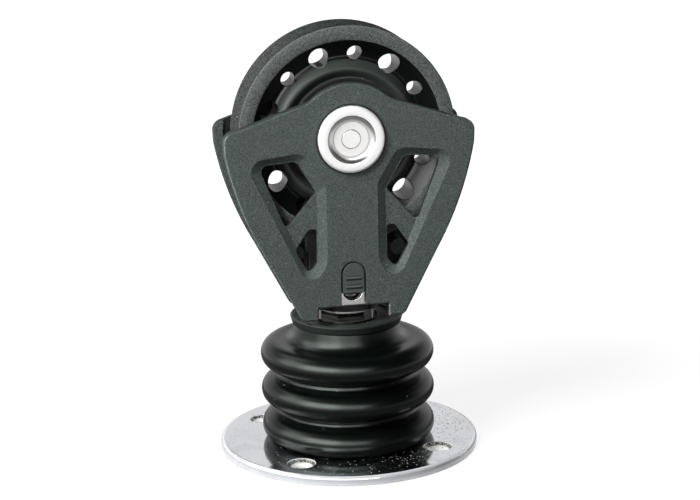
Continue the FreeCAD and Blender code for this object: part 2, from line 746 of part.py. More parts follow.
def sheave_profile():
    """Half of the sheave's section from the bore out to the groove, on the front side."""
    bore = inner_race_radius + 2 * roller_radius + 2 * roller_running_gap
    return chain([(bore, 0), (bore, -sheave_hub_half_width),
                  (sheave_hub_inner_radius, -sheave_hub_half_width),
                  (sheave_hub_crest_radius, -sheave_hub_crest_half_width),
                  (sheave_dish_radius, -sheave_dish_half_width),
                  (sheave_flange_inner_radius, -sheave_half_width),
                  (sheave_radius, -sheave_half_width),
                  (sheave_radius, -sheave_half_width + sheave_rim_land)])


def sheave():
    front = sheave_profile()
    rear = [e.mirror(Vector(0, 0, 0), Vector(0, 1, 0)) for e in front]
    lip = sheave_half_width - sheave_rim_land
    groove = arc(Vector(sheave_radius, -lip, 0), Vector(sheave_radius - sheave_groove_depth, 0, 0),
                 Vector(sheave_radius, lip, 0))
    body = revolve_axle(Part.__sortEdges__(front + rear + [groove]))
    step = 360 / sheave_hole_pairs
    for i in range(sheave_hole_pairs):
        for radius, turn in ((sheave_large_hole_radius, 0), (sheave_small_hole_radius, step / 2)):
            angle = math.radians(sheave_hole_turn + i * step + turn)
            x = sheave_hole_circle_radius * math.cos(angle)
            z = sheave_hole_circle_radius * math.sin(angle) + axle_height
            body = body.cut(cross_cylinder(radius, -2 * sheave_half_width, 2 * sheave_half_width, x, z))
    return body


def inner_race():
    race = cross_cylinder(inner_race_radius, -sheave_half_width, sheave_half_width, 0, axle_height)
    past = sheave_half_width + 1
    return race.cut(cross_cylinder(axle_bore_radius, -past, past, 0, axle_height))


def rollers(radius, half_length):
    """One cylinder per roller, round the inner race."""
    centre = inner_race_radius + roller_radius + roller_running_gap
    found = []
    for i in range(roller_count):
        angle = 2 * math.pi * i / roller_count
        found.append(cross_cylinder(radius, -half_length, half_length, centre * math.cos(angle),
                                    axle_height + centre * math.sin(angle)))
    return found


def bearing_rollers():
    return Part.makeCompound(rollers(roller_radius, roller_half_length))


def roller_cage():
    middle = inner_race_radius + roller_radius + roller_running_gap
    ring = cross_cylinder(middle + cage_wall / 2, -cage_half_length, cage_half_length, 0, axle_height)
    past = cage_half_length + 1
    ring = ring.cut(cross_cylinder(middle - cage_wall / 2, -past, past, 0, axle_height))
    for pocket in rollers(roller_radius + cage_pocket_gap, roller_half_length + cage_pocket_gap):
        ring = ring.cut(pocket)
    return ring


def race_cover():
    """The front cover: a thin disc with a boss that faces the sheave's hub."""
    disc_face = -sheave_half_width
    boss_face = -sheave_hub_half_width - race_cover_hub_gap
    edges = chain([(axle_bore_radius, -strap_inner_half_gap), (race_cover_radius, -strap_inner_half_gap),
                   (race_cover_radius, disc_face), (race_cover_boss_radius, disc_face),
                   (race_cover_boss_radius, boss_face), (race_cover_boss_bore_radius, boss_face),
                   (race_cover_boss_bore_radius, disc_face), (axle_bore_radius, disc_face),
                   (axle_bore_radius, -strap_inner_half_gap)])
    return revolve_axle(edges)


def axle_tube():
    tube = cross_cylinder(axle_radius, -head_seat, head_seat, 0, axle_height)
    past = head_seat + 1
    return tube.cut(cross_cylinder(rivet_radius + rivet_fit, -past, past, 0, axle_height))


def axle_head():
    """The front axle head: a domed ring round a dished recess."""
    seat = -head_seat
    crest = -cheek_outer_half_gap - head_proud
    bore = rivet_radius + rivet_fit
    edge = seat - head_edge_height
    recess_floor = crest + head_recess_depth
    recess_lip = Vector(head_recess_radius, crest + head_dome_drop, 0)
    crest_point = Vector(head_crest_radius, crest, 0)
    dome_middle = Vector((head_radius + head_crest_radius) / 2 + head_dome_swell, crest + head_dome_drop, 0)
    lip_middle = Vector(head_recess_radius + head_lip_reach, crest + head_lip_drop, 0)
    edges = chain([(bore, seat), (head_radius, seat), (head_radius, edge)])
    edges.append(arc(Vector(head_radius, edge, 0), dome_middle, crest_point))
    edges.append(arc(crest_point, lip_middle, recess_lip))
    edges += chain([(recess_lip.x, recess_lip.y), (head_recess_floor_radius, recess_floor),
                    (bore, recess_floor), (bore, seat)])
    return revolve_axle(edges)


def axle_rivet():
    end = cheek_outer_half_gap + head_proud - head_recess_depth
    return cross_cylinder(rivet_radius, -end, end, 0, axle_height)


def on_rear_side(shape):
    """The same piece on the rear side."""
    return shape.mirror(Vector(0, 0, 0), Vector(0, 1, 0))


pieces = {
    "base_plate": base_plate(),
    "deck_eye": deck_eye(),
    "boot": boot(),
    "shackle_bow": shackle_bow(),
    "shackle_pin": shackle_pin(),
    "pin_clip": pin_clip(),
    "swivel_post": swivel_post(),
    "boot_collar": boot_collar(),
    "collar_washer": washer(collar_washer_radius, post_bore_radius, collar_floor_top, collar_washer_top),
    "collar_nut": collar_nut(),
    "swivel_washer": washer(steel_washer_radius, post_bore_radius, collar_nut_top, steel_washer_top),
    "castle_nut": castle_nut(),
    "swivel_disc": washer(swivel_disc_radius, post_bore_radius, swivel_disc_bottom, strap_bottom),
    "swivel_bush": swivel_bush(),
    "load_strap": load_strap(),
    "front_cheek": front_cheek(),
    "rear_cheek": rear_cheek(),
    "lock_slider": lock_slider(),
    "sheave": sheave(),
    "inner_race": inner_race(),
    "bearing_rollers": bearing_rollers(),
    "roller_cage": roller_cage(),
    "race_cover_front": race_cover(),
    "race_cover_rear": on_rear_side(race_cover()),
    "axle_tube": axle_tube(),
    "axle_head_front": axle_head(),
    "axle_head_rear": on_rear_side(axle_head()),
    "axle_rivet": axle_rivet(),
}

os.makedirs("parts", exist_ok=True)
for name, shape in pieces.items():
    shape.exportStep("parts/" + name + ".step")
    b = shape.optimalBoundingBox()
    print(name, "solids", len(shape.Solids), "valid", shape.isValid(), "volume", round(shape.Volume, 1),
          "z", round(b.ZMin, 2), round(b.ZMax, 2))
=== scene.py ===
import math

import bpy
from mathutils import Matrix, Vector


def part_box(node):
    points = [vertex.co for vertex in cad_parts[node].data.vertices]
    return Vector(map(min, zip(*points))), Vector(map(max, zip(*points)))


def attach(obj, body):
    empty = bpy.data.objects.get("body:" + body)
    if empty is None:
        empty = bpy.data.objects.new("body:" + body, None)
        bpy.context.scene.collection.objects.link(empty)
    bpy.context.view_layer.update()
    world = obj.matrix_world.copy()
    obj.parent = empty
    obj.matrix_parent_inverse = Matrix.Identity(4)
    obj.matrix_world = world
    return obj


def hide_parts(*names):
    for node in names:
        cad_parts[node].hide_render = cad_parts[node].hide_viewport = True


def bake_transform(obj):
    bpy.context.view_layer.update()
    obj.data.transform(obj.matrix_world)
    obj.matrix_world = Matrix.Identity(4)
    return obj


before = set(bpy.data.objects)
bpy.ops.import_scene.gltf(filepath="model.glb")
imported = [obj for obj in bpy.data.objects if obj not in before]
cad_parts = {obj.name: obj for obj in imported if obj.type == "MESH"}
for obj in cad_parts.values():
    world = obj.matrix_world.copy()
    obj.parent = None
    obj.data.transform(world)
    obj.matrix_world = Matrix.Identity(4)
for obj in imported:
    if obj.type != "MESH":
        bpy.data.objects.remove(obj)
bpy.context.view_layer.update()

mm = 0.001

# Viewpoint: a long lens a little above the deck plate and left of straight ahead, tipped by a degree,
# aimed at the block's centre line between the boot and the sheave.
camera_azimuth = math.radians(-11.849)
camera_elevation = math.radians(14.624)
camera_roll = math.radians(-1.129)
camera_distance = 0.700546
camera_target = Vector((0, 0, 0.066993))
camera_side_shift = 0.00162
forward = Vector((-math.sin(camera_azimuth) * math.cos(camera_elevation),
                  math.cos(camera_azimuth) * math.cos(camera_elevation),
                  -math.sin(camera_elevation)))
level_right = forward.cross(Vector((0, 0, 1))).normalized()
level_up = level_right.cross(forward)
camera_right = level_right * math.cos(camera_roll) + level_up * math.sin(camera_roll)
camera_up = level_up * math.cos(camera_roll) - level_right * math.sin(camera_roll)
camera_data = bpy.data.cameras.new("studio_camera")
camera_data.lens = 108.28
camera_data.sensor_width = 36
camera_data.clip_start = 0.05
camera = bpy.data.objects.new("studio_camera", camera_data)
bpy.context.scene.collection.objects.link(camera)
camera_turn = Matrix((camera_right, camera_up, -forward)).transposed().to_4x4()
camera_place = camera_target - forward * camera_distance + level_right * camera_side_shift
camera.matrix_world = Matrix.Translation(camera_place) @ camera_turn
bpy.context.scene.camera = camera
bpy.context.scene.view_settings.view_transform = "Standard"


# Studio lamps: a large soft key high on the left, a weak fill low on the right and one that lights the back
# from the right, all three seen by matt surfaces only. Four soft boxes, from the back on the left round to
# the front, show only as highlights in gloss.
lamp_aim = Vector((0, 0, 0.08))


def hang_lamp(name, place, width, height, watts, for_gloss):
    """A rectangular lamp that faces the block and shows either in gloss or on matt surfaces."""
    lamp_data = bpy.data.lights.new(name, "AREA")
    lamp_data.shape = "RECTANGLE"
    lamp_data.size = width
    lamp_data.size_y = height
    lamp_data.energy = watts
    lamp = bpy.data.objects.new(name, lamp_data)
    lamp.location = place
    lamp.rotation_euler = (lamp_aim - Vector(place)).to_track_quat("-Z", "Y").to_euler()
    lamp.visible_glossy = for_gloss
    lamp.visible_diffuse = not for_gloss
    bpy.context.scene.collection.objects.link(lamp)


hang_lamp("key_lamp", (-1.04, -0.64, 1.16), 0.60, 0.60, 47, False)
hang_lamp("fill_lamp", (0.70, -0.62, 0.22), 0.50, 0.50, 0.3, False)
hang_lamp("back_lamp", (0.82, 0.50, 0.36), 0.50, 0.50, 6, False)
hang_lamp("side_soft_box", (-0.88, 0.00, 0.50), 0.80, 0.65, 7, True)
hang_lamp("left_soft_box", (-0.69, -0.58, 0.46), 0.75, 0.56, 13, True)
hang_lamp("front_soft_box", (-0.21, -1.02, 0.44), 1.00, 0.54, 8, True)
hang_lamp("high_soft_box", (-0.49, 0.41, 0.85), 0.60, 0.50, 1.6, True)


# Studio floor and air: a pale matt floor that keeps the object's shadow, in a white tent that is open
# and dark overhead and on the camera's side. Light Path shows the white only to the camera and to gloss.
def add_node(tree, kind, **values):
    """A shader node with its settings and unlinked inputs filled in."""
    node = tree.nodes.new(kind)
    for name, value in values.items():
        if hasattr(node, name):
            setattr(node, name, value)
        else:
            node.inputs[name.replace("_", " ")].default_value = value
    return node


def feed(tree, slot, term):
    """Links the term to a node's slot if it is a socket, and writes it there if it is a plain value."""
    if isinstance(term, bpy.types.NodeSocket):
        tree.links.new(term, slot)
    else:
        slot.default_value = term


def calc(tree, operation, *terms, use_clamp=False):
    """The result of a maths node on sockets and plain numbers."""
    node = add_node(tree, "ShaderNodeMath", operation=operation, use_clamp=use_clamp)
    for slot, term in zip(node.inputs, terms):
        feed(tree, slot, term)
    return node.outputs[0]


def fade(tree, value, start, end, low, high, interpolation_type="LINEAR"):
    """A number that goes from low to high while the value goes from start to end."""
    node = add_node(tree, "ShaderNodeMapRange", interpolation_type=interpolation_type, From_Min=start,
                    From_Max=end, To_Min=low, To_Max=high)
    tree.links.new(value, node.inputs["Value"])
    return node.outputs[0]


def tone_ramp(tree, value, reach, stops, tint=(1, 1, 1)):
    """A tint that passes the stops (place, brightness) while the value goes from 0 to the reach."""
    ramp = add_node(tree, "ShaderNodeValToRGB")
    while len(ramp.color_ramp.elements) < len(stops):
        ramp.color_ramp.elements.new(0.5)
    for stop, (place, tone) in zip(ramp.color_ramp.elements, stops):
        stop.position = place / reach
        stop.color = (tone * tint[0], tone * tint[1], tone * tint[2], 1)
    tree.links.new(calc(tree, "DIVIDE", value, reach), ramp.inputs[0])
    return ramp.outputs[0]


def split(tree, vector):
    """The X, Y and Z of a vector or colour."""
    node = add_node(tree, "ShaderNodeSeparateXYZ")
    tree.links.new(vector, node.inputs[0])
    return node.outputs


def object_place(tree):
    """Where a point of the surface lies, in the frame that all pieces share."""
    return add_node(tree, "ShaderNodeTexCoord").outputs["Object"]


def distance_from_axis(tree, place, across, centre=(0, 0, 0)):
    """How far a point lies from an axis through the centre. Across has a 1 for each way off the axis."""
    flattened = add_node(tree, "ShaderNodeMapping", Location=[-part for part in centre], Scale=across)
    tree.links.new(place, flattened.inputs["Vector"])
    reach = add_node(tree, "ShaderNodeVectorMath", operation="LENGTH")
    tree.links.new(flattened.outputs[0], reach.inputs[0])
    return reach.outputs["Value"]


def join_shaders(tree, kind, *terms):
    """A shader made of others, with its share first where it is a mix."""
    node = add_node(tree, kind)
    for slot, term in zip(node.inputs, terms):
        tree.links.new(term, slot)
    return node.outputs[0]


bpy.ops.object.select_all(action="DESELECT")
bpy.ops.mesh.primitive_plane_add(size=8)
floor = bpy.context.object
floor.name = "studio_floor"
floor_paint = bpy.data.materials.new("studio_floor_paint")
floor_paint.use_nodes = True
tree = floor_paint.node_tree
tree.nodes.clear()
from_object = distance_from_axis(tree, object_place(tree), (1, 1, 0))
whiter_far_off = fade(tree, from_object, 80 * mm, 400 * mm, 0.87, 1.05, "SMOOTHSTEP")
# in gloss the floor is nearly black in a wide ring that starts just past the plate's edge
ring_stops = [(44.5 * mm, 0.95), (48 * mm, 0.04), (150 * mm, 0.05), (320 * mm, 1.0)]
black_ring = tone_ramp(tree, from_object, 500 * mm, ring_stops)
path = add_node(tree, "ShaderNodeLightPath").outputs
in_gloss = calc(tree, "MULTIPLY", path["Is Glossy Ray"], black_ring)
shown = calc(tree, "MAXIMUM", path["Is Camera Ray"], in_gloss)
matt = add_node(tree, "ShaderNodeBsdfDiffuse", Color=(0.12, 0.12, 0.12, 1))
glow = add_node(tree, "ShaderNodeEmission", Color=(1, 1, 1, 1))
feed(tree, glow.inputs["Strength"], calc(tree, "MULTIPLY", shown, whiter_far_off))
matt_and_glow = join_shaders(tree, "ShaderNodeAddShader", matt.outputs[0], glow.outputs[0])
tree.links.new(matt_and_glow, add_node(tree, "ShaderNodeOutputMaterial").inputs["Surface"])
floor.data.materials.append(floor_paint)

studio_air = bpy.data.worlds.new("studio_air")
bpy.context.scene.world = studio_air
studio_air.use_nodes = True
tree = studio_air.node_tree
tree.nodes.clear()
direction = split(tree, add_node(tree, "ShaderNodeTexCoord").outputs["Generated"])
low_down = fade(tree, direction["Z"], 0.36, 0.52, 1.0, 0.0, "SMOOTHSTEP")
tent_brightness = 0.80
darkest_tent = 0.012
behind = fade(tree, direction["Y"], -0.10, 0.35, 0.0, tent_brightness, "SMOOTHSTEP")
mirror_air = add_node(tree, "ShaderNodeBackground", Color=(1, 1, 1, 1))
feed(tree, mirror_air.inputs["Strength"], calc(tree, "MULTIPLY_ADD", low_down, behind, darkest_tent))
plain_air = add_node(tree, "ShaderNodeBackground", Color=(1, 1, 1, 1), Strength=0.03)
white_air = add_node(tree, "ShaderNodeBackground", Color=(1, 1, 1, 1), Strength=1.0)
path = add_node(tree, "ShaderNodeLightPath").outputs
lit_air = join_shaders(tree, "ShaderNodeMixShader", path["Is Glossy Ray"], plain_air.outputs[0],
                       mirror_air.outputs[0])
seen_air = join_shaders(tree, "ShaderNodeMixShader", path["Is Camera Ray"], lit_air, white_air.outputs[0])
tree.links.new(seen_air, add_node(tree, "ShaderNodeOutputWorld").inputs["Surface"])


# Deck plate: a round disc of stainless steel, turned, countersunk for four screws and polished like a
# mirror. Handling has left faint smears on it, and there are small pits in the polish.
def group_start(name, inputs, outputs):
    """A shader node group with named sockets: the group, what it is given and what it makes."""
    group = bpy.data.node_groups.new(name, "ShaderNodeTree")
    for title, kind, value in inputs:
        socket = group.interface.new_socket(name=title, in_out="INPUT", socket_type="NodeSocket" + kind)
        socket.default_value = value
    for title, kind in outputs:
        group.interface.new_socket(name=title, in_out="OUTPUT", socket_type="NodeSocket" + kind)
    return group, group.nodes.new("NodeGroupInput").outputs, group.nodes.new("NodeGroupOutput").inputs


def noise(tree, place, scale, detail, roughness, distortion=0.0):
    """A cloudy pattern between 0 and 1."""
    node = add_node(tree, "ShaderNodeTexNoise", Detail=detail, Roughness=roughness, Distortion=distortion)
    tree.links.new(place, node.inputs["Vector"])
    feed(tree, node.inputs["Scale"], scale)
    return node.outputs["Fac"]


def specks(tree, place, scale, core, edge, left_out=0.0, dimensions="3D"):
    """A mask of small round specks, one to a cell of the scale, with a share of the cells left out."""
    cells = add_node(tree, "ShaderNodeTexVoronoi", voronoi_dimensions=dimensions, Scale=scale,
                     Randomness=1.0)
    tree.links.new(place, cells.inputs["Vector"])
    near = fade(tree, cells.outputs["Distance"], core, edge, 1.0, 0.0)
    picked = calc(tree, "GREATER_THAN", split(tree, cells.outputs["Color"])["X"], left_out)
    return calc(tree, "MULTIPLY", near, picked)


def cover(tree, share, under, over, blend_type="MIX"):
    """The colour under, covered with the colour over as far as the share says."""
    node = add_node(tree, "ShaderNodeMix", data_type="RGBA", blend_type=blend_type)
    for slot, term in ((node.inputs[0], share), (node.inputs[6], under), (node.inputs[7], over)):
        feed(tree, slot, term)
    return node.outputs[2]


steel_marks, given, made = group_start(
    "steel_marks",
    [("Colour", "Color", (0.8, 0.8, 0.8, 1)), ("Roughness", "Float", 0.08), ("Smear", "Float", 0.3),
     ("Pits", "Float", 0.3), ("Fine lines", "Float", 0.2)],
    [("Colour", "Color"), ("Roughness", "Float"), ("Height", "Float"), ("Pit", "Float")])
smear_roughens = 0.22
smear_darkens = 0.35
pit_roughens = 0.45
mark_colour = (0.55, 0.54, 0.52, 1)
place = object_place(steel_marks)
pit_cells = specks(steel_marks, place, scale=900.0, core=0.13, edge=0.24)
pit_cloud = noise(steel_marks, place, scale=90.0, detail=3.0, roughness=0.6)
pit_field = fade(steel_marks, pit_cloud, 0.42, 0.62, 0.0, 1.0)
pit_here = calc(steel_marks, "MULTIPLY", pit_cells, pit_field)
pit = calc(steel_marks, "MULTIPLY", pit_here, given["Pits"], use_clamp=True)
smear_cloud = noise(steel_marks, place, scale=70.0, detail=4.0, roughness=0.6, distortion=1.2)
smear_band = fade(steel_marks, smear_cloud, 0.42, 0.72, 0.0, 1.0)
smear = calc(steel_marks, "MULTIPLY", smear_band, given["Smear"])
smeared_rough = calc(steel_marks, "MULTIPLY_ADD", smear, smear_roughens, given["Roughness"])
pitted_rough = calc(steel_marks, "MULTIPLY_ADD", pit, pit_roughens, smeared_rough, use_clamp=True)
mark = calc(steel_marks, "MULTIPLY_ADD", smear, smear_darkens, pit, use_clamp=True)
marked = cover(steel_marks, mark, given["Colour"], mark_colour, "MULTIPLY")
# the fine lines of the brush run along Y
stretched = add_node(steel_marks, "ShaderNodeMapping", Scale=(1.0, 0.06, 0.5))
steel_marks.links.new(place, stretched.inputs["Vector"])
lines = noise(steel_marks, stretched.outputs[0], scale=1600.0, detail=2.0, roughness=0.5)
line_height = calc(steel_marks, "MULTIPLY", lines, given["Fine lines"])
steel_marks.links.new(marked, made["Colour"])
steel_marks.links.new(pitted_rough, made["Roughness"])
steel_marks.links.new(calc(steel_marks, "SUBTRACT", line_height, pit), made["Height"])
steel_marks.links.new(pit, made["Pit"])


def finish_start(name, look_group, look_values, metallic, edge_round, bump_depth, gloss):
    """A material whose colour, roughness and bump come from a group, with softly rounded edges."""
    paint = bpy.data.materials.new(name)
    paint.use_nodes = True
    tree = paint.node_tree
    shader = tree.nodes["Principled BSDF"]
    shader.inputs["Metallic"].default_value = metallic
    shader.inputs["Specular IOR Level"].default_value = gloss
    look = add_node(tree, "ShaderNodeGroup", node_tree=look_group)
    for title, value in look_values.items():
        look.inputs[title].default_value = value
    edge = add_node(tree, "ShaderNodeBevel", samples=6, Radius=edge_round)
    bump = add_node(tree, "ShaderNodeBump", Strength=1.0, Distance=bump_depth)
    tree.links.new(edge.outputs[0], bump.inputs["Normal"])
    tree.links.new(look.outputs["Height"], bump.inputs["Height"])
    tree.links.new(bump.outputs[0], shader.inputs["Normal"])
    tree.links.new(look.outputs["Colour"], shader.inputs["Base Color"])
    tree.links.new(look.outputs["Roughness"], shader.inputs["Roughness"])
    return paint


def steel_finish(name, colour, roughness, smear, pits, fine_lines, edge_round=0.25 * mm):
    """Stainless steel with its smears, pits and fine lines."""
    marks = {"Colour": (*colour, 1), "Roughness": roughness, "Smear": smear, "Pits": pits,
             "Fine lines": fine_lines}
    return finish_start(name, steel_marks, marks, metallic=1.0, edge_round=edge_round, bump_depth=0.02 * mm,
                        gloss=0.5)


def dress(paint, *names):
    """Gives the material to nodes whose shape comes from the frame."""
    for name in names:
        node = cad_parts[name]
        node.data.materials.clear()
        node.data.materials.append(paint)


inside_rim_reach = 40 * mm
rim_start = 42.1 * mm
cut_colour = (0.72, 0.72, 0.70, 1)
lip_dark_colour = (0.045, 0.045, 0.04, 1)
pit_colour = (0.26, 0.25, 0.23, 1)
dust_colour = (0.42, 0.42, 0.41, 1)
least_metal = 0.05
few_pits = 0.25
many_pits = 2.5
plate_steel = steel_finish("plate_steel", (0.78, 0.80, 0.83), roughness=0.06, smear=0.5, pits=0.8,
                           fine_lines=0.05)
tree = plate_steel.node_tree
shader = tree.nodes["Principled BSDF"]
marks = tree.nodes["Group"]
place = object_place(tree)
place_parts = split(tree, place)
from_middle = distance_from_axis(tree, place, (1, 1, 0))
# the countersinks, where the surface slopes and isn't the rim, are as the cutter left them
facing = split(tree, add_node(tree, "ShaderNodeNewGeometry").outputs["Normal"])
slopes = fade(tree, facing["Z"], 0.95, 0.85, 0.0, 1.0)
inside_rim = fade(tree, from_middle, inside_rim_reach, inside_rim_reach + 1 * mm, 1.0, 0.0)
countersink = calc(tree, "MULTIPLY", slopes, inside_rim)
# a countersink is dark, in spots, near its lip and bright further down
torn_cloud = noise(tree, place, scale=2400.0, detail=2.0, roughness=0.6)
lip_dark_spots = fade(tree, torn_cloud, 0.40, 0.52, 0.35, 1.0)
lip_stops = [(1.7 * mm, 0.0), (2.05 * mm, 1.0), (2.75 * mm, 1.0), (2.85 * mm, 0.0)]
near_lip = tone_ramp(tree, place_parts["Z"], 3 * mm, lip_stops)
dark_at_lip = calc(tree, "MULTIPLY", near_lip, lip_dark_spots, use_clamp=True)
lip_or_cut = cover(tree, dark_at_lip, cut_colour, lip_dark_colour)
with_countersinks = cover(tree, countersink, marks.outputs["Colour"], lip_or_cut)
with_pits = cover(tree, marks.outputs["Pit"], with_countersinks, pit_colour)
# specks of dust lie on it, which show where it mirrors the black boot
dust_specks = specks(tree, place, scale=330.0, core=0.05, edge=0.09, left_out=0.5, dimensions="2D")
dust = calc(tree, "MULTIPLY", dust_specks, inside_rim)
tree.links.new(cover(tree, dust, with_pits, dust_colour), shader.inputs["Base Color"])
# the rim was only brushed, and it mirrors less, as the countersinks, the pits and the dust do
brushed_rim = fade(tree, from_middle, rim_start, rim_start + 0.4 * mm, 0.0, 0.7)
cut_or_rim = calc(tree, "MAXIMUM", countersink, brushed_rim)
pit_or_dust = calc(tree, "MAXIMUM", marks.outputs["Pit"], dust)
dull = calc(tree, "MAXIMUM", cut_or_rim, pit_or_dust)
metal = calc(tree, "MULTIPLY_ADD", dull, least_metal - 1.0, 1.0, use_clamp=True)
tree.links.new(metal, shader.inputs["Metallic"])
# the polish is pitted on one side
tree.links.new(fade(tree, place_parts["X"], 5 * mm, 34 * mm, few_pits, many_pits), marks.inputs["Pits"])
dress(plate_steel, "base_plate")


# Deck eye, shackle, pin and swivel post: machined stainless steel, as it comes from the lathe and the
# bending jig. All but the post's top end sit inside the boot.
thread_pitch = 1.25 * mm
thread_depth = 0.25 * mm
plain_steel = steel_finish("plain_steel", (0.60, 0.60, 0.58), roughness=0.28, smear=0.8, pits=0.2,
                           fine_lines=0.6)
dress(plain_steel, "deck_eye", "shackle_bow", "shackle_pin", "pin_clip", "inner_race", "axle_tube")
post_steel = steel_finish("post_steel", (0.55, 0.55, 0.53), roughness=0.25, smear=0.6, pits=0.1,
                          fine_lines=0.4)
tree = post_steel.node_tree
# at a scale of 1 the waves lie 2 pi / 20 apart
thread = add_node(tree, "ShaderNodeTexWave", wave_type="BANDS", bands_direction="Z", wave_profile="TRI",
                  Scale=2 * math.pi / 20 / thread_pitch)
tree.links.new(object_place(tree), thread.inputs["Vector"])
thread_bump = add_node(tree, "ShaderNodeBump", Strength=1.0, Distance=thread_depth)
tree.links.new(thread.outputs["Fac"], thread_bump.inputs["Height"])
tree.links.new(tree.nodes["Bump"].outputs[0], thread_bump.inputs["Normal"])
tree.links.new(thread_bump.outputs[0], tree.nodes["Principled BSDF"].inputs["Normal"])
dress(post_steel, "swivel_post")


# Boot: one moulding of black rubber in three round lobes, with a neck that the collar plugs. It is made
# as a lower and an upper half that meet in the middle valley.
lobe_pitch = 12.5 * mm
lobe_round = 4.5 * mm
lobe_middle_radius = 24.6 * mm
first_lobe_height = 7.5 * mm
foot_height = 3 * mm
foot_radii = [22.6 * mm, 23.8 * mm]
boot_segments = 96
neck_radius = 17.6 * mm
neck_top = 42.5 * mm
boot_wall = 2.5 * mm
boot_split = first_lobe_height + 1.5 * lobe_pitch
# smoothing shrinks a small round more than a large one, so both are drawn a little full
lobe_fullness = 1.02
valley_fullness = 1.1
# the neck flares on its way down to the uppermost lobe, as (radius, height above that lobe's top)
neck_flare = [(22.4 * mm, -0.1 * mm), (20.9 * mm, -0.1 * mm), (20.1 * mm, 0.1 * mm), (19.4 * mm, 0.6 * mm),
              (18.85 * mm, 1.3 * mm), (18.4 * mm, 2.2 * mm), (18.1 * mm, 3.3 * mm), (17.85 * mm, 4.4 * mm)]


def turn_ring_by_ring(name, rings, segments, upright=True, centre=(0, 0, 0)):
    """An open skin made from a circle that is extruded and resized from ring to ring.
    A ring is (radius, distance along the axis), and the axis is Z when upright and otherwise Y."""
    along = Vector((0, 0, 1)) if upright else Vector((0, 1, 0))
    start = Vector(centre) + along * rings[0][1]
    bpy.ops.object.select_all(action="DESELECT")
    bpy.ops.mesh.primitive_circle_add(vertices=segments, radius=rings[0][0], location=start,
                                      rotation=(0 if upright else math.pi / 2, 0, 0))
    bpy.ops.object.transform_apply(location=True, rotation=True, scale=True)
    skin = bpy.context.object
    skin.name = name
    bpy.ops.object.mode_set(mode="EDIT")
    bpy.ops.mesh.select_all(action="SELECT")
    for (radius, height), (next_radius, next_height) in zip(rings, rings[1:]):
        bpy.ops.mesh.extrude_region_move(TRANSFORM_OT_translate={"value": along * (next_height - height)})
        size = next_radius / radius
        bpy.ops.transform.resize(value=(size, size, 1) if upright else (size, 1, size),
                                 center_override=Vector(centre) + along * next_height)
    bpy.ops.object.mode_set(mode="OBJECT")
    return skin


def round_rings(middle_radius, middle_height, size, degrees):
    """Rings along a round of the boot's outline. A size below zero makes a valley of it."""
    turns = [math.radians(angle) for angle in degrees]
    return [(middle_radius + size * math.cos(turn), middle_height + abs(size) * math.sin(turn))
            for turn in turns]


def boot_rings():
    """The boot's outside from the foot to the neck's top edge."""
    rings = [(radius, foot_height) for radius in foot_radii]
    valley_round = lobe_pitch / 2 - lobe_round
    for lobe in range(3):
        middle = first_lobe_height + lobe * lobe_pitch
        rings += round_rings(lobe_middle_radius, middle, lobe_fullness * lobe_round, range(-90, 91, 20))
        if lobe < 2:
            valley = middle + lobe_pitch / 2
            rings += round_rings(lobe_middle_radius, valley, -valley_fullness * valley_round, (-50, 0, 50))
    lobe_top = first_lobe_height + 2 * lobe_pitch + lobe_round
    rings += [(radius, lobe_top + above_lobe) for radius, above_lobe in neck_flare]
    return rings + [(neck_radius, neck_top)]


rubber_skin, given, made = group_start(
    "rubber_skin",
    [("Colour", "Color", (0.02, 0.02, 0.02, 1)), ("Bloom", "Float", 0.3), ("Roughness", "Float", 0.35)],
    [("Colour", "Color"), ("Roughness", "Float"), ("Height", "Float")])
bloom_colour = (0.055, 0.058, 0.055, 1)
bloom_roughens = 0.4
dust_colour = (0.30, 0.31, 0.30, 1)
place = object_place(rubber_skin)
bloom_cloud = noise(rubber_skin, place, scale=55.0, detail=4.0, roughness=0.6, distortion=0.6)
bloom_patch = fade(rubber_skin, bloom_cloud, 0.4, 0.75, 0.0, 1.0)
bloom = calc(rubber_skin, "MULTIPLY", bloom_patch, given["Bloom"])
bloomed = cover(rubber_skin, bloom, given["Colour"], bloom_colour)
dust = specks(rubber_skin, place, scale=260.0, core=0.03, edge=0.075, left_out=0.45)
bloom_rough = calc(rubber_skin, "MULTIPLY_ADD", bloom, bloom_roughens, given["Roughness"], use_clamp=True)
rubber_skin.links.new(cover(rubber_skin, dust, bloomed, dust_colour), made["Colour"])
rubber_skin.links.new(bloom_rough, made["Roughness"])
rubber_skin.links.new(noise(rubber_skin, place, scale=2600.0, detail=3.0, roughness=0.6), made["Height"])

skin_look = {"Colour": (0.0008, 0.0016, 0.0011, 1), "Bloom": 0.015, "Roughness": 0.30}
boot_rubber = finish_start("boot_rubber", rubber_skin, skin_look, metallic=0.0, edge_round=0.3 * mm,
                           bump_depth=0.012 * mm, gloss=0.33)
rubber_shader = boot_rubber.node_tree.nodes["Principled BSDF"]
rubber_shader.inputs["Specular Tint"].default_value = (0.90, 1.0, 0.93, 1)

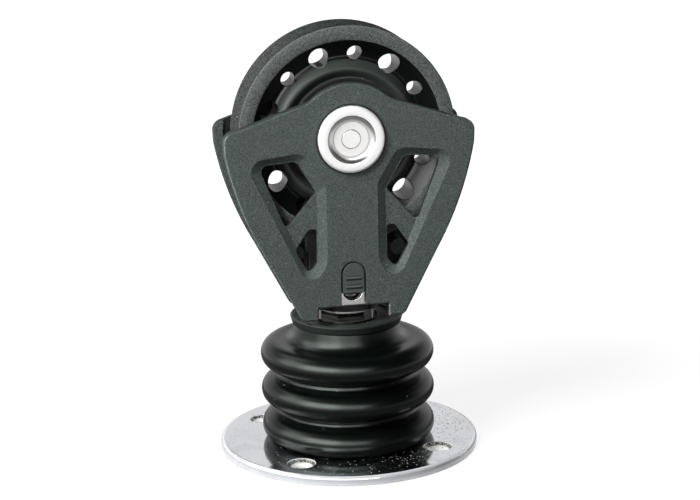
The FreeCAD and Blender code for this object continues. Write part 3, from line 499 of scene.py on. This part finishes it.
for half_name, keep_lower in (("boot_lower_half", True), ("boot_upper_half", False)):
    half = turn_ring_by_ring(half_name, boot_rings(), boot_segments)
    rounding = half.modifiers.new("rounding", "SUBSURF")
    rounding.levels = rounding.render_levels = 1
    bpy.ops.object.modifier_apply(modifier="rounding")
    bpy.ops.object.mode_set(mode="EDIT")
    bpy.ops.mesh.select_all(action="SELECT")
    bpy.ops.mesh.bisect(plane_co=(0, 0, boot_split), plane_no=(0, 0, 1), clear_outer=keep_lower,
                        clear_inner=not keep_lower)
    bpy.ops.mesh.select_all(action="SELECT")
    bpy.ops.mesh.normals_make_consistent(inside=False)
    bpy.ops.object.mode_set(mode="OBJECT")
    wall = half.modifiers.new("wall", "SOLIDIFY")
    wall.thickness = boot_wall
    wall.offset = -1
    bpy.ops.object.modifier_apply(modifier="wall")
    bpy.ops.object.shade_smooth_by_angle(angle=math.radians(50))
    half.data.materials.append(boot_rubber)
    if keep_lower:
        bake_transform(half)
    else:
        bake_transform(half)
    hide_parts("boot")


# Collar, swivel disc and bearing plastics: smooth injection-moulded acetal and nylon, all black. The
# grain group gives every moulded surface its speckle, sheen and fine bump.
moulded_grain, given, made = group_start(
    "moulded_grain",
    [("Colour", "Color", (0.05, 0.05, 0.05, 1)), ("Grain size", "Float", 3000.0), ("Speckle", "Float", 0.2),
     ("Roughness", "Float", 0.5), ("Sheen patches", "Float", 0.1)],
    [("Colour", "Color"), ("Roughness", "Float"), ("Height", "Float")])


def toned(tree, colour, tone):
    """A colour made lighter or darker by a factor."""
    node = add_node(tree, "ShaderNodeVectorMath", operation="SCALE")
    tree.links.new(colour, node.inputs[0])
    tree.links.new(tone, node.inputs["Scale"])
    return node.outputs[0]


coarse_scale = 0.4
coarse_share = 0.2
dust_colour = (0.34, 0.36, 0.35, 1)
place = object_place(moulded_grain)
fine = noise(moulded_grain, place, scale=given["Grain size"], detail=3.0, roughness=0.65)
coarse_size = calc(moulded_grain, "MULTIPLY", given["Grain size"], coarse_scale)
coarse = noise(moulded_grain, place, scale=coarse_size, detail=2.0, roughness=0.7)
# the fine grain and a share of the coarse one, each about zero
fine_part = calc(moulded_grain, "SUBTRACT", fine, 0.5)
coarse_part = calc(moulded_grain, "MULTIPLY_ADD", coarse, coarse_share, -0.5 * coarse_share)
grain = calc(moulded_grain, "ADD", fine_part, coarse_part)
brightness = calc(moulded_grain, "MULTIPLY_ADD", grain, given["Speckle"], 1.0)
speckled = toned(moulded_grain, given["Colour"], brightness)
dust = specks(moulded_grain, place, scale=330.0, core=0.04, edge=0.08, left_out=0.6)
sheen_cloud = noise(moulded_grain, place, scale=60.0, detail=3.0, roughness=0.6)
patches = calc(moulded_grain, "SUBTRACT", sheen_cloud, 0.5)
patchy_rough = calc(moulded_grain, "MULTIPLY_ADD", patches, given["Sheen patches"], given["Roughness"],
                    use_clamp=True)
moulded_grain.links.new(cover(moulded_grain, dust, speckled, dust_colour), made["Colour"])
moulded_grain.links.new(patchy_rough, made["Roughness"])
moulded_grain.links.new(grain, made["Height"])


def moulded_finish(name, colour, grain_size, speckle, roughness, patches, edge_round, bump_depth, edge_highlight_factor,
                   gloss):
    """A moulded plastic with its grain, whose rounded corners are made lighter by a factor, as a painted
    highlight.
    """
    grain_look = {"Colour": (*colour, 1), "Grain size": grain_size, "Speckle": speckle,
                  "Roughness": roughness, "Sheen patches": patches}
    paint = finish_start(name, moulded_grain, grain_look, metallic=0.0, edge_round=edge_round,
                         bump_depth=bump_depth, gloss=gloss)
    tree = paint.node_tree
    # rounded corners get a painted highlight: they are lighter where the rounded normal leaves the face's
    # own
    turned = add_node(tree, "ShaderNodeVectorMath", operation="DOT_PRODUCT")
    tree.links.new(add_node(tree, "ShaderNodeNewGeometry").outputs["Normal"], turned.inputs[0])
    tree.links.new(tree.nodes["Bevel"].outputs[0], turned.inputs[1])
    painted_edge_highlight = fade(tree, turned.outputs["Value"], 0.82, 0.985, edge_highlight_factor, 1.0)
    highlighted_colour = toned(tree, tree.nodes["Group"].outputs["Colour"], painted_edge_highlight)
    tree.links.new(highlighted_colour, tree.nodes["Principled BSDF"].inputs["Base Color"])
    return paint


collar_plastic = moulded_finish("collar_plastic", (0.021, 0.026, 0.023), grain_size=2500, speckle=0.6,
                                roughness=0.40, patches=0.2, edge_round=0.5 * mm, bump_depth=0.012 * mm,
                                edge_highlight_factor=1.6, gloss=0.2)
dress(collar_plastic, "boot_collar")
bearing_plastic = moulded_finish("bearing_plastic", (0.012, 0.013, 0.012), grain_size=3500, speckle=0.2,
                                 roughness=0.30, patches=0.15, edge_round=0.25 * mm,
                                 bump_depth=0.004 * mm, edge_highlight_factor=1.5, gloss=0.2)
dress(bearing_plastic, "swivel_disc", "swivel_bush", "bearing_rollers", "roller_cage", "race_cover_front",
      "race_cover_rear")


# Washers, nuts, strap and rivet: stainless steel, turned or pressed. The swivel's washer and the rivet are
# polished, the nuts and the collar's washer are near black, and the strap is one bent strip, bright near its
# foot and, further up, rougher and painted dark as shade inside the block.
bright_below = 4.4 * mm
shaded_from = 5.4 * mm
shaded_strap_colour = (0.10, 0.10, 0.095, 1)
shaded_strap_roughens = 0.35
polished_steel = steel_finish("polished_steel", (0.78, 0.78, 0.76), roughness=0.16, smear=0.4, pits=0.2,
                              fine_lines=0.3)
dress(polished_steel, "swivel_washer", "axle_rivet")
nut_steel = steel_finish("nut_steel", (0.035, 0.035, 0.033), roughness=0.10, smear=0.4, pits=0.2,
                         fine_lines=0.4)
dress(nut_steel, "collar_nut", "collar_washer")
dark_steel = steel_finish("dark_steel", (0.06, 0.06, 0.057), roughness=0.16, smear=0.6, pits=0.3,
                          fine_lines=0.8)
dress(dark_steel, "castle_nut")
strap_steel = steel_finish("strap_steel", (0.74, 0.74, 0.72), roughness=0.18, smear=0.4, pits=0.2,
                           fine_lines=0.4)
tree = strap_steel.node_tree
shader = tree.nodes["Principled BSDF"]
marks = tree.nodes["Group"].outputs
strap_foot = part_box("load_strap")[0].z
height = split(tree, object_place(tree))["Z"]
# painted shade: the strap is dark from a little above its foot upward, and rougher there
strap_shade = fade(tree, height, strap_foot + bright_below, strap_foot + shaded_from, 0.0, 1.0)
tree.links.new(cover(tree, strap_shade, marks["Colour"], shaded_strap_colour), shader.inputs["Base Color"])
strap_rough = calc(tree, "MULTIPLY_ADD", strap_shade, shaded_strap_roughens, marks["Roughness"])
tree.links.new(strap_rough, shader.inputs["Roughness"])
dress(strap_steel, "load_strap")


# Axle heads: turned stainless steel discs with a bright flat ring, a dished recess and a dull turned floor
# where the rivet comes through. Each is one piece, clamped in its pocket in the cheek by the rivet.
axle_height = (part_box("axle_rivet")[0].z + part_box("axle_rivet")[1].z) / 2
head_seat = 12.25 * mm
head_face = 14.35 * mm
recess_floor = head_face - 1.1 * mm
recess_reach = 7.95 * mm
floor_margin = 0.1 * mm
head_segments = 96
rivet_bore = 3.04 * mm
head_rings = [(rivet_bore, recess_floor), (5.7 * mm, recess_floor), (6.2 * mm, recess_floor + 0.03 * mm),
              (6.7 * mm, recess_floor + 0.14 * mm), (7.15 * mm, recess_floor + 0.36 * mm),
              (7.5 * mm, recess_floor + 0.66 * mm), (7.72 * mm, head_face - 0.14 * mm),
              (7.9 * mm, head_face - 0.03 * mm), (8.1 * mm, head_face), (10.15 * mm, head_face),
              (10.25 * mm, head_face - 0.02 * mm), (10.75 * mm, head_face - 0.22 * mm),
              (10.94 * mm, head_face - 0.45 * mm), (10.94 * mm, head_seat), (rivet_bore, head_seat)]


def select_only(*pieces):
    """Selects these pieces alone and makes the first one active."""
    bpy.ops.object.select_all(action="DESELECT")
    for piece in pieces:
        piece.select_set(True)
    bpy.context.view_layer.objects.active = pieces[0]


def close_ring(skin):
    """Joins the first and last circle of a turned skin and turns its faces outward."""
    select_only(skin)
    bpy.ops.object.mode_set(mode="EDIT")
    bpy.ops.mesh.select_mode(type="EDGE")
    bpy.ops.mesh.select_all(action="DESELECT")
    bpy.ops.mesh.select_non_manifold(extend=False, use_wire=False, use_boundary=True, use_multi_face=False,
                                     use_non_contiguous=False, use_verts=False)
    bpy.ops.mesh.bridge_edge_loops()
    bpy.ops.mesh.select_mode(type="VERT")
    bpy.ops.mesh.select_all(action="SELECT")
    bpy.ops.mesh.normals_make_consistent(inside=False)
    bpy.ops.object.mode_set(mode="OBJECT")


# the ring is polished steel, and its near-white, mostly non-metallic colour is a painted reflection of the
# white studio it mirrors
head_steel = steel_finish("axle_head_steel", (0.98, 0.98, 0.97), roughness=0.30, smear=0.05, pits=0.0,
                          fine_lines=0.05, edge_round=0.1 * mm)
head_steel.node_tree.nodes["Principled BSDF"].inputs["Metallic"].default_value = 0.3
recess_steel = steel_finish("axle_recess_steel", (0.92, 0.92, 0.92), roughness=0.30, smear=0.1, pits=0.0,
                            fine_lines=0.1, edge_round=0.1 * mm)
tree = recess_steel.node_tree
shader = tree.nodes["Principled BSDF"]
off_axle = distance_from_axis(tree, object_place(tree), (1, 0, 1), (0, 0, axle_height))
# painted shade lies round the rivet, at the foot of the sloping wall and under the wall's lip, and the wall
# between is painted darker too
recess_shade_stops = [(3.04 * mm, 0.20), (3.35 * mm, 0.97), (5.5 * mm, 0.97), (5.9 * mm, 0.42), (6.3 * mm, 0.66),
               (7.3 * mm, 0.62), (7.8 * mm, 0.25)]
painted_recess_shade = tone_ramp(tree, off_axle, 10 * mm, recess_shade_stops, (1, 0.99, 0.97))
recess_colour = cover(tree, 1.0, tree.nodes["Group"].outputs["Colour"], painted_recess_shade, "MULTIPLY")
tree.links.new(recess_colour, shader.inputs["Base Color"])
# the wall is polished and the floor isn't
tree.links.new(fade(tree, off_axle, 5.7 * mm, 6.3 * mm, 0.30, 1.0), shader.inputs["Metallic"])

for side, side_name in ((-1, "front"), (1, "rear")):
    rings = [(radius, side * across) for radius, across in head_rings]
    head = turn_ring_by_ring("axle_head_" + side_name + "_disc", rings, head_segments, upright=False,
                             centre=(0, 0, axle_height))
    close_ring(head)
    bpy.ops.object.shade_smooth_by_angle(angle=math.radians(25))
    head.data.materials.append(head_steel)
    head.data.materials.append(recess_steel)
    for face in head.data.polygons:
        reach = math.hypot(face.center.x, face.center.z - axle_height)
        if reach < recess_reach and abs(face.center.y) > recess_floor - floor_margin:
            face.material_index = 1
    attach(head, "block")
    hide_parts("axle_head_" + side_name)


# Cheeks: matt glass-filled nylon, charcoal with a faint green cast. The moulding has a fine sandy grain,
# soft corners and bevels that run into the face without a crease.
cheek_plastic = moulded_finish("cheek_plastic", (0.076, 0.094, 0.089), grain_size=3300, speckle=4.4,
                               roughness=0.50, patches=0.12, edge_round=0.4 * mm, bump_depth=0.200 * mm,
                               edge_highlight_factor=1.2, gloss=0.2)
tree = cheek_plastic.node_tree
shader = tree.nodes["Principled BSDF"]
moulded_colour = shader.inputs["Base Color"].links[0].from_socket
facing = split(tree, add_node(tree, "ShaderNodeNewGeometry").outputs["Normal"])
towards_y = calc(tree, "ABSOLUTE", facing["Y"])
# walls square to the face are dark
darkest_wall = 0.34
wall_tone = fade(tree, towards_y, 0.20, 0.36, darkest_wall, 1.0)
# the rounded edges between them and the face get a painted highlight on the left and painted shade on top
edge_stops = [(0.36, 0.0), (0.45, 1.0), (0.80, 1.0), (0.88, 0.0)]
on_edge = tone_ramp(tree, towards_y, 1.0, edge_stops)
highlight_on_left = fade(tree, facing["X"], -0.42, -0.60, 0.0, 1.3)
shade_on_top = fade(tree, facing["Z"], 0.40, 0.60, 0.0, 0.6)
painted_edge_highlight = calc(tree, "MULTIPLY", on_edge, calc(tree, "SUBTRACT", highlight_on_left, shade_on_top))
edge_light_and_wall_tone = calc(tree, "ADD", painted_edge_highlight, wall_tone)
# painted shade makes the hollow round the sheave black, and the narrow gap round the axle head too
black = 0.12
hollow_face = 9.9 * mm
hollow_spread = 0.5 * mm
gap_start = 11.4 * mm
gap_end = 11.9 * mm
place = object_place(tree)
off_middle = calc(tree, "ABSOLUTE", split(tree, place)["Y"])
in_hollow = calc(tree, "COMPARE", off_middle, hollow_face, hollow_spread)
hollow_shade = calc(tree, "MULTIPLY_ADD", in_hollow, black - 1.0, 1.0)
off_axle = distance_from_axis(tree, place, (1, 0, 1), (0, 0, axle_height))
gap_shade = fade(tree, off_axle, gap_start, gap_end, black, 1.0)
painted_shade_tone = calc(tree, "MULTIPLY", hollow_shade, gap_shade)
cheek_painted_tone = calc(tree, "MULTIPLY", edge_light_and_wall_tone, painted_shade_tone)
tree.links.new(toned(tree, moulded_colour, cheek_painted_tone), shader.inputs["Base Color"])
dress(cheek_plastic, "front_cheek", "rear_cheek")


# Lock slider: matt nylon like the cheeks', with two grip ribs moulded across it. A fingertip slides it in
# its slot at the foot of the front cheek's spine.
rib_heights = [strap_foot + 7.25 * mm, strap_foot + 10.2 * mm]
rib_half = 0.64 * mm
rib_shade_half_length = 2.4 * mm
rib_shade_tail = 0.4 * mm
darkest_rib_shade = 0.30
slider_plastic = moulded_finish("slider_plastic", (0.076, 0.090, 0.085), grain_size=2400, speckle=1.0,
                                roughness=0.50, patches=0.1, edge_round=0.35 * mm, bump_depth=0.040 * mm,
                                edge_highlight_factor=1.3, gloss=0.12)
tree = slider_plastic.node_tree
shader = tree.nodes["Principled BSDF"]
moulded_colour = shader.inputs["Base Color"].links[0].from_socket
place_parts = split(tree, object_place(tree))
# painted shade lies in a line along both sides of each rib and thins out past the rib's ends
rib_gaps = [calc(tree, "ABSOLUTE", calc(tree, "SUBTRACT", place_parts["Z"], rib_height))
            for rib_height in rib_heights]
nearest_rib = calc(tree, "MINIMUM", rib_gaps[0], rib_gaps[1])
off_line = calc(tree, "ABSOLUTE", calc(tree, "SUBTRACT", nearest_rib, rib_half))
off_middle = calc(tree, "ABSOLUTE", place_parts["X"])
past_end = fade(tree, off_middle, rib_shade_half_length, rib_shade_half_length + rib_shade_tail, 0.0, rib_shade_tail)
rib_shade_tone = fade(tree, calc(tree, "ADD", off_line, past_end), 0.10 * mm, 0.26 * mm, darkest_rib_shade, 1.0)
tree.links.new(toned(tree, moulded_colour, rib_shade_tone), shader.inputs["Base Color"])
dress(slider_plastic, "lock_slider")


# Sheave: one moulding of black nylon. The flanges are drilled with seven pairs of holes, the hub is a
# smooth domed ring, and the groove is left sandy so that the line doesn't slip.
sheave_radius = 36.0 * mm
half_width = 8.2 * mm
rim_land = 0.8 * mm
rim_round = 0.35 * mm
rim_corner = 0.1 * mm
groove_depth = 3.3 * mm
groove_steps = 6
sheave_segments = 144
hole_pairs = 7
hole_circle = 27.0 * mm
large_hole = 3.4 * mm
small_hole = 2.45 * mm
first_hole_turn = 108.5
hole_taper = 0.955
drill_length = 20 * mm
# one side from the bore to the rim, as (radius, distance from the middle): the flat face round the bore, the
# hub's domed ring with its slope up and its rounder slope down, the dish that rises to the flange, the rim
face_rings = [(14.9 * mm, 6.0 * mm), (19.1 * mm, 6.0 * mm), (19.35 * mm, 6.04 * mm)]
dome_rings = [(20.0 * mm, 6.38 * mm), (20.7 * mm, 6.74 * mm), (21.3 * mm, 6.97 * mm), (21.8 * mm, 7.04 * mm),
              (22.3 * mm, 6.95 * mm), (22.8 * mm, 6.68 * mm), (23.3 * mm, 6.25 * mm), (23.8 * mm, 5.68 * mm),
              (24.3 * mm, 5.02 * mm), (24.8 * mm, 4.42 * mm), (25.3 * mm, 4.02 * mm), (25.8 * mm, 3.92 * mm)]
dish_rings = [(26.4 * mm, 4.18 * mm), (27.3 * mm, 4.86 * mm), (31.0 * mm, 7.8 * mm), (31.35 * mm, 8.06 * mm)]
rim_rings = [(31.8 * mm, half_width), (sheave_radius - rim_round, half_width),
             (sheave_radius - rim_corner, half_width - rim_corner), (sheave_radius, half_width - rim_round)]
rear_side = face_rings + dome_rings + dish_rings + rim_rings
front_side = [(radius, -across) for radius, across in rear_side]
groove_half = half_width - rim_land
groove_radius = (groove_half ** 2 + groove_depth ** 2) / (2 * groove_depth)
groove = []
for step in range(-groove_steps, groove_steps + 1):
    across = groove_half * step / groove_steps
    sagitta = groove_radius - math.sqrt(groove_radius ** 2 - across ** 2)
    groove.append((sheave_radius - groove_depth + sagitta, across))
sheave = turn_ring_by_ring("sheave_wheel", front_side + groove + rear_side[::-1], sheave_segments,
                           upright=False, centre=(0, 0, axle_height))
close_ring(sheave)

drills = []
for pair in range(hole_pairs):
    for radius, turn in ((large_hole, 0.0), (small_hole, 180 / hole_pairs)):
        angle = math.radians(first_hole_turn + 360 * pair / hole_pairs + turn)
        spot = (hole_circle * math.cos(angle), 0, axle_height + hole_circle * math.sin(angle))
        bpy.ops.object.select_all(action="DESELECT")
        bpy.ops.mesh.primitive_cylinder_add(vertices=40, radius=radius, depth=drill_length, location=spot,
                                            rotation=(math.pi / 2, 0, 0))
        bpy.ops.object.transform_apply(location=True, rotation=True, scale=True)
        drills.append(bpy.context.object)
        bpy.ops.object.mode_set(mode="EDIT")
        bpy.ops.mesh.select_all(action="SELECT")
        # both halves of the mould taper the hole towards a parting line in the middle
        bpy.ops.mesh.bisect(plane_co=(0, 0, 0), plane_no=(0, 1, 0))
        bpy.ops.transform.resize(value=(hole_taper, 1, hole_taper), center_override=spot)
        bpy.ops.object.mode_set(mode="OBJECT")
select_only(*drills)
bpy.ops.object.join()
all_drills = bpy.context.object
select_only(sheave)
holes = sheave.modifiers.new("holes", "BOOLEAN")
holes.operation = "DIFFERENCE"
holes.solver = "EXACT"
holes.object = all_drills
bpy.ops.object.modifier_apply(modifier="holes")
bpy.data.objects.remove(all_drills)
bpy.ops.object.shade_smooth_by_angle(angle=math.radians(32))

sheave_plastic = moulded_finish("sheave_plastic", (0.122, 0.136, 0.129), grain_size=3000, speckle=3.6,
                                roughness=0.50, patches=0.15, edge_round=0.35 * mm, bump_depth=0.160 * mm,
                                edge_highlight_factor=1.15, gloss=0.04)
groove_plastic = moulded_finish("groove_plastic", (0.027, 0.031, 0.029), grain_size=2100, speckle=7.0,
                                roughness=0.50, patches=0.1, edge_round=0.3 * mm, bump_depth=0.300 * mm,
                                edge_highlight_factor=1.2, gloss=0.22)
hub_plastic = moulded_finish("hub_plastic", (0.034, 0.040, 0.036), grain_size=3200, speckle=0.8,
                             roughness=0.40, patches=0.1, edge_round=0.3 * mm, bump_depth=0.008 * mm,
                             edge_highlight_factor=1.1, gloss=0.22)
# the dish gets a near-black copy of the sheave's plastic, as painted shade for the shadow that falls in it
shaded_dish_plastic = moulded_finish("shaded_dish_plastic", (0.004, 0.0055, 0.0045), grain_size=2400, speckle=3.0,
                              roughness=0.32, patches=0.1, edge_round=0.3 * mm, bump_depth=0.035 * mm,
                              edge_highlight_factor=1.1, gloss=0.25)
for paint in (sheave_plastic, groove_plastic, hub_plastic, shaded_dish_plastic):
    sheave.data.materials.append(paint)
groove_start = 32.5 * mm
hub_start, hub_end, hub_low = 19.0 * mm, 24.6 * mm, 4.4 * mm
dish_start, dish_end = 24.0 * mm, 31.2 * mm
for face in sheave.data.polygons:
    reach = math.hypot(face.center.x, face.center.z - axle_height)
    if reach > groove_start and abs(face.center.y) < groove_half:
        face.material_index = 1
    elif hub_start < reach < hub_end and abs(face.center.y) > hub_low:
        face.material_index = 2
    elif dish_start < reach < dish_end:
        face.material_index = 3
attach(sheave, "sheave")
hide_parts("sheave")
